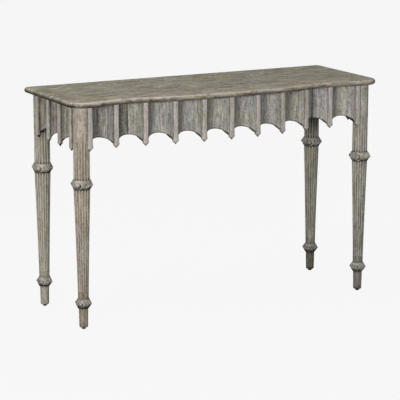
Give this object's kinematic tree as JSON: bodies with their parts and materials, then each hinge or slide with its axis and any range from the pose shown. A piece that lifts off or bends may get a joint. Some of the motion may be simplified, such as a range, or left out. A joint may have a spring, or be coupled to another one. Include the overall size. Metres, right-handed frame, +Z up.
{
  "type": "pier table",
  "caption": "Narrow wall table with a serpentine top, a coved apron edged with pointed pendants, and round fluted legs with bossed collars.",
  "frame": {"origin": "on the floor, under the middle of the top", "axes": "+Z up, +X along the table's length to the right seen from the front, +Y towards the wall behind"},
  "size_m": [1.286, 0.474, 0.838],
  "materials": {
    "top_wood": "weathered grey-brown, open grain, matt",
    "apron_wood": "weathered grey-brown, upright grain, matt",
    "fin_wood": "weathered grey, rubbed paler on the edges, matt",
    "leg_wood": "weathered grey-tan with dark flutes, matt",
    "collar_wood": "weathered grey with dark recesses, matt",
    "inner_wood": "plain secondary timber, unfinished",
    "screw_steel": "zinc plated",
    "glide_black": "moulded black"
  },
  "bodies": {
    "root": {"back_rail": "inner_wood", "corner_block_back_left": "inner_wood", "corner_block_back_right": "inner_wood", "corner_block_front_left": "inner_wood", "corner_block_front_right": "inner_wood", "corner_block_screws": "screw_steel", "cross_rail_left": "inner_wood", "cross_rail_right": "inner_wood", "dowels": "inner_wood", "foot_glides": "glide_black", "front_apron_centre": "apron_wood", "front_apron_left": "apron_wood", "front_apron_right": "apron_wood", "front_fin_01": "fin_wood", "front_fin_02": "fin_wood", "front_fin_03": "fin_wood", "front_fin_04": "fin_wood", "front_fin_05": "fin_wood", "front_fin_06": "fin_wood", "front_fin_07": "fin_wood", "front_fin_08": "fin_wood", "front_fin_09": "fin_wood", "front_fin_10": "fin_wood", "front_fin_11": "fin_wood", "left_fin_01": "fin_wood", "left_fin_02": "fin_wood", "left_fin_03": "fin_wood", "left_fin_04": "fin_wood", "leg_back_left": "leg_wood", "leg_back_right": "leg_wood", "leg_front_left": "leg_wood", "leg_front_right": "leg_wood", "lower_collar_back_left": "collar_wood", "lower_collar_back_right": "collar_wood", "lower_collar_front_left": "collar_wood", "lower_collar_front_right": "collar_wood", "right_fin_01": "fin_wood", "right_fin_02": "fin_wood", "right_fin_03": "fin_wood", "right_fin_04": "fin_wood", "side_apron_left": "apron_wood", "side_apron_right": "apron_wood", "top_board_1": "top_wood", "top_board_2": "top_wood", "top_board_3": "top_wood", "top_board_4": "top_wood", "top_screws": "screw_steel", "upper_collar_back_left": "collar_wood", "upper_collar_back_right": "collar_wood", "upper_collar_front_left": "collar_wood", "upper_collar_front_right": "collar_wood"}
  },
  "joints": []
}
